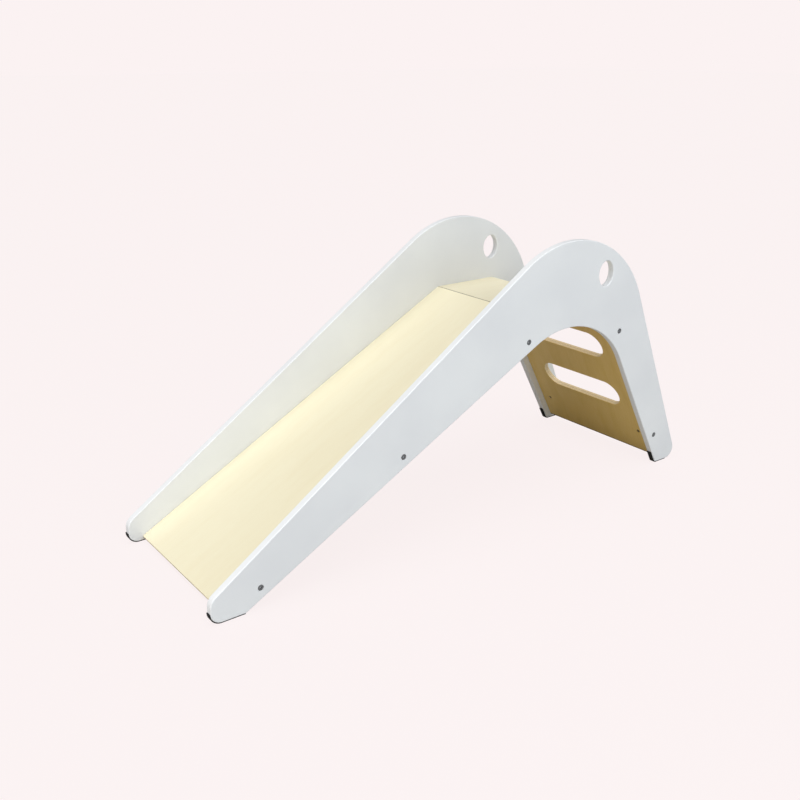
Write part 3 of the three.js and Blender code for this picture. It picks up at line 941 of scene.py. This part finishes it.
def makeNuts(material):
    length = board["thickness"] - 2 * nut["skin"] - 2 * nut["clearance"]
    body = nutBody(length)
    slotAcross = Matrix.Rotation(math.pi / 2, 4, "Z")
    for side in ("left", "right"):
        for name in boltNames:
            node = f"barrel_nut_{name}_{side}"
            outward = slope + down if name.startswith("slide") else ladderOut + math.pi
            facing = Matrix.Rotation(up - outward, 4, "Y")
            place = Matrix.Translation(centreOf(node)) @ facing @ slotAcross
            piece = body.copy()
            bmesh.ops.transform(piece, matrix=place, verts=piece.verts)
            finished(piece, node, material)
    body.free()


makeNuts(steelMaterial("nutSteel", nut))
print("barrel nuts made")


batten = {
    "thickness": 0.016,
    "reach": 0.034,                # each way from the seam
    "gap": 0.0003,
    "rim": 0.0012,
    "rimSegments": 3,
    "grainStretch": (60, 2, 60),
    "rayStretch": (400, 60, 400),
}

beech = {
    "light": srgb(214, 184, 142),
    "dark": srgb(190, 152, 108),
    "ray": srgb(160, 116, 76),
    "grain": (5, 5, 0.6),          # scale, detail and roughness
    "rays": (6, 1),
    "rayRange": (0.64, 0.72),
    "rayStrength": 0.7,
    "relief": (0.2, 0.0002),
    "roughness": (0.6, 0.78),
}


def beechMaterial(name, stretch, rayStretch):
    # bare beech: close straight grain and its short dark rays
    material, tree, shader = newMaterial(name)
    place = objectPlace(tree)
    grain = noiseAt(tree, place, stretch, *beech["grain"])
    rays = noiseAt(tree, place, rayStretch, *beech["rays"])
    rays = ranged(tree, rays, *beech["rayRange"], 0, beech["rayStrength"])
    colour = blendColour(tree, ranged(tree, grain, *middling, 0, 1), beech["light"], beech["dark"])
    plug(tree, shader, "Base Color", blendColour(tree, rays, colour, beech["ray"]))
    plug(tree, shader, "Roughness", ranged(tree, grain, *middling, *beech["roughness"]))
    plug(tree, shader, "Normal", bumpFrom(tree, grain, *beech["relief"]))
    return material


def makeBatten(material):
    # one strip under both boards: its top follows the seam's angle
    low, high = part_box("seam_batten")
    under, thickness = board["thickness"] + batten["gap"], batten["thickness"]
    top = meet(moved(slideTop, -under), moved(deckTop, -under))
    bottom = meet(moved(slideTop, -under - thickness), moved(deckTop, -under - thickness))
    slideEnd, deckEnd = top + polar(slope + left, batten["reach"]), top + polar(0, batten["reach"])
    corners = [top, slideEnd, slideEnd + polar(slope + down, thickness), bottom,
               deckEnd + polar(down, thickness), deckEnd]
    bm = bmesh.new()
    verts = [bm.verts.new((corner.x, low.y, corner.y)) for corner in corners]
    face = bm.faces.new(verts)
    grown = bmesh.ops.extrude_face_region(bm, geom=[face], use_keep_orig=True)
    bmesh.ops.translate(bm, verts=only(bmesh.types.BMVert, grown["geom"]), vec=(0, high.y - low.y, 0))
    bmesh.ops.recalc_face_normals(bm, faces=bm.faces)
    bm.normal_update()
    edges = [e for e in bm.edges if e.calc_face_angle_signed(0) > sharpFrom]
    easeEdges(bm, edges, batten["rim"], batten["rimSegments"])
    finished(bm, "seam_batten", material)


dowel = {
    "radius": 0.004,
    "fluteDepth": 0.00025,
    "segments": 36,
    "chamfer": 0.0008,
    "grainStretch": (120, 8, 120),
    "rayStretch": (700, 120, 700),
}


def nodesFrom(start):
    return sorted(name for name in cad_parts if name.startswith(start))


def makeDowels(material):
    shrink = 1 - dowel["fluteDepth"] / dowel["radius"]
    for node in nodesFrom("dowel_"):
        low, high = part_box(node)
        length = high.y - low.y
        bm = bmesh.new()
        bmesh.ops.create_cone(bm, cap_ends=True, cap_tris=False, segments=dowel["segments"], depth=length,
                              radius1=dowel["radius"], radius2=dowel["radius"])
        rims = [e for e in bm.edges if level(e)]
        easeEdges(bm, rims, dowel["chamfer"], 2)
        middle = [v for v in bm.verts if abs(v.co.z) < length / 2 - dowel["chamfer"] / 2]
        perTurn = dowel["segments"] / (2 * math.pi)
        grooves = [v for v in middle if round(math.atan2(v.co.y, v.co.x) * perTurn) % 2]
        bmesh.ops.scale(bm, verts=grooves, vec=(shrink, shrink, 1))
        lying = Matrix.Translation((low + high) / 2) @ Matrix.Rotation(up, 4, "X")
        bmesh.ops.transform(bm, matrix=lying, verts=bm.verts)
        finished(bm, node, material, weighted=False)


screw = {
    "length": 0.0243,
    "headRadius": 0.004,
    "headDepth": 0.0024,
    "headEase": 0.0002,
    "shankRadius": 0.002,
    "plainLength": 0.0055,
    "threadStart": 0.006,
    "pointLength": 0.003,
    "crossHalf": 0.0004,
    "crossReach": 0.0019,
    "crossDepth": 0.0011,
    "threadPitch": 0.0018,
    "threadHeight": 0.0004,
    "segments": 32,
    "tint": srgb(186, 188, 186),
    "darkTint": srgb(150, 151, 150),
    "roughness": (0.34, 0.5),
}


def screwBody():
    # stands on its countersunk head, with a cross recess in it and thread rings round its shank
    head, shank = screw["headRadius"], screw["shankRadius"]
    root = shank - screw["threadHeight"]
    pointStart, halfPitch = screw["length"] - screw["pointLength"], screw["threadPitch"] / 2
    steps = int((pointStart - screw["threadStart"]) / halfPitch)
    profile = [(0, 0), (head - screw["headEase"], 0), (head, screw["headEase"]),
               (shank, screw["headDepth"]), (shank, screw["plainLength"])]
    profile += [(shank if i % 2 else root, screw["threadStart"] + i * halfPitch) for i in range(steps)]
    profile += [(root, pointStart), (0, screw["length"])]
    bm = turned(profile, screw["segments"])
    reach, half = screw["crossReach"], screw["crossHalf"]

    def onHead(item):
        return all(v.co.z < tiny for v in item.verts)

    def inCross(face):
        middle = face.calc_center_median()
        across, along = abs(middle.x), abs(middle.y)
        return abs(middle.z) < tiny and max(across, along) < reach and min(across, along) < half

    for axis in (Vector((1, 0, 0)), Vector((0, 1, 0))):
        for offset in (-reach, -half, half, reach):
            flat = [v for v in bm.verts if v.co.z < tiny]
            flat += [item for item in bm.faces[:] + bm.edges[:] if onHead(item)]
            bmesh.ops.bisect_plane(bm, geom=flat, dist=tiny, plane_co=axis * offset, plane_no=axis)
    cross = [f for f in bm.faces if inCross(f)]
    grown = bmesh.ops.extrude_face_region(bm, geom=cross)["geom"]
    bmesh.ops.translate(bm, verts=only(bmesh.types.BMVert, grown), vec=(0, 0, screw["crossDepth"]))
    bmesh.ops.delete(bm, geom=[f for f in cross if f.is_valid], context="FACES")
    bmesh.ops.recalc_face_normals(bm, faces=bm.faces)
    return bm


def makeScrews(material):
    body = screwBody()
    centred = Matrix.Translation((0, 0, -screw["length"] / 2))
    for node in nodesFrom("screw_"):
        facing = Matrix.Rotation(-slope if "slide" in node else 0, 4, "Y")
        piece = body.copy()
        bmesh.ops.transform(piece, matrix=Matrix.Translation(centreOf(node)) @ facing @ centred,
                            verts=piece.verts)
        finished(piece, node, material)
    body.free()


makeBatten(beechMaterial("battenBeech", batten["grainStretch"], batten["rayStretch"]))
makeDowels(beechMaterial("dowelBeech", dowel["grainStretch"], dowel["rayStretch"]))
makeScrews(steelMaterial("screwSteel", screw))
print("batten, dowels and screws made")


studio = {
    "tone": srgb(251, 242, 242),
    "floorReach": 40.0,
    "shadeShare": 0.05,            # how far the floor darkens in full shade
    "lightOnFloor": 1.0,
    "bounce": (0.50, 0.48, 0.46, 1.0),
    "ambient": (1.0, 0.985, 0.96, 1.0),
    "ambientStrength": 0.24,
}

lights = {
    "overhead": {"place": (-0.7, -0.7, 4.0), "target": (0, 0, 0), "strength": 1.95, "spread": 60,
                 "colour": (1.0, 0.99, 0.985)},
    "front": {"place": (0.0, -3.4, 1.6), "target": (0, 0, 0.3), "size": (3.2, 1.6), "power": 46,
              "colour": (0.855, 0.945, 1.0)},
    "side": {"place": (-3.6, -0.3, 0.8), "target": (0, 0, 0.25), "size": (2.2, 1.4), "power": 28,
             "colour": (1.0, 0.99, 0.98)},
}


def makeStudio():
    # the camera sees the floor's own tone with faint shadows; what it throws back up is ordinary bounce
    bm = bmesh.new()
    bmesh.ops.create_grid(bm, x_segments=1, y_segments=1, size=studio["floorReach"])
    mesh = bpy.data.meshes.new("floor")
    bm.to_mesh(mesh)
    bm.free()
    floor = bpy.data.objects.new("floor", mesh)
    bpy.context.scene.collection.objects.link(floor)
    material, tree, shader = newMaterial("paleFloor")
    share = studio["shadeShare"]
    glow = 1 - share * studio["lightOnFloor"]
    direct = add(tree, "LightPath").outputs["Is Camera Ray"]
    plug(tree, shader, "Base Color", blendColour(tree, direct, studio["bounce"], (share, share, share, 1)))
    plug(tree, shader, "Emission Strength", calc(tree, "MULTIPLY", direct, glow))
    shader.inputs["Roughness"].default_value = 1
    shader.inputs["Specular IOR Level"].default_value = 0
    shader.inputs["Emission Color"].default_value = studio["tone"]
    mesh.materials.append(material)

    world = bpy.data.worlds.new("studio")
    world.use_nodes = True
    nodes, links = world.node_tree.nodes, world.node_tree.links
    ambient = nodes["Background"]
    ambient.inputs["Color"].default_value = studio["ambient"]
    ambient.inputs["Strength"].default_value = studio["ambientStrength"]
    backdrop = nodes.new("ShaderNodeBackground")
    backdrop.inputs["Color"].default_value = studio["tone"]
    seen = nodes.new("ShaderNodeMixShader")
    links.new(nodes.new("ShaderNodeLightPath").outputs["Is Camera Ray"], seen.inputs[0])
    links.new(ambient.outputs[0], seen.inputs[1])
    links.new(backdrop.outputs[0], seen.inputs[2])
    links.new(seen.outputs[0], nodes["World Output"].inputs["Surface"])
    bpy.context.scene.world = world


def hung(name, light, lamp):
    light.color = lamp["colour"]
    holder = bpy.data.objects.new(name, light)
    holder.location = lamp["place"]
    holder.visible_camera = False
    holder.rotation_mode = "QUATERNION"
    aim = Vector(lamp["target"]) - Vector(lamp["place"])
    holder.rotation_quaternion = aim.to_track_quat("-Z", "Y")
    bpy.context.scene.collection.objects.link(holder)


def softbox(name):
    lamp = lights[name]
    light = bpy.data.lights.new(name, "AREA")
    light.shape = "RECTANGLE"
    light.size, light.size_y = lamp["size"]
    light.energy = lamp["power"]
    hung(name, light, lamp)


def skylight(name):
    lamp = lights[name]
    light = bpy.data.lights.new(name, "SUN")
    light.energy = lamp["strength"]
    light.angle = math.radians(lamp["spread"])
    hung(name, light, lamp)


camera = {
    "place": (-1.4136, -1.7877, 1.1051),
    "pitch": 20.22,
    "yaw": 36.70,
    "lens": 43.18,
    "sensor": 36,
    "clip": (0.05, 200),
}


def makeCamera():
    data = bpy.data.cameras.new("camera")
    data.lens = camera["lens"]
    data.sensor_width = camera["sensor"]
    data.clip_start, data.clip_end = camera["clip"]
    holder = bpy.data.objects.new("camera", data)
    holder.location = camera["place"]
    holder.rotation_euler = (math.radians(90 - camera["pitch"]), 0, -math.radians(camera["yaw"]))
    bpy.context.scene.collection.objects.link(holder)
    bpy.context.scene.camera = holder


makeStudio()
skylight("overhead")
softbox("front")
softbox("side")
makeCamera()
bpy.context.scene.view_settings.view_transform = "Standard"
print("studio ready")
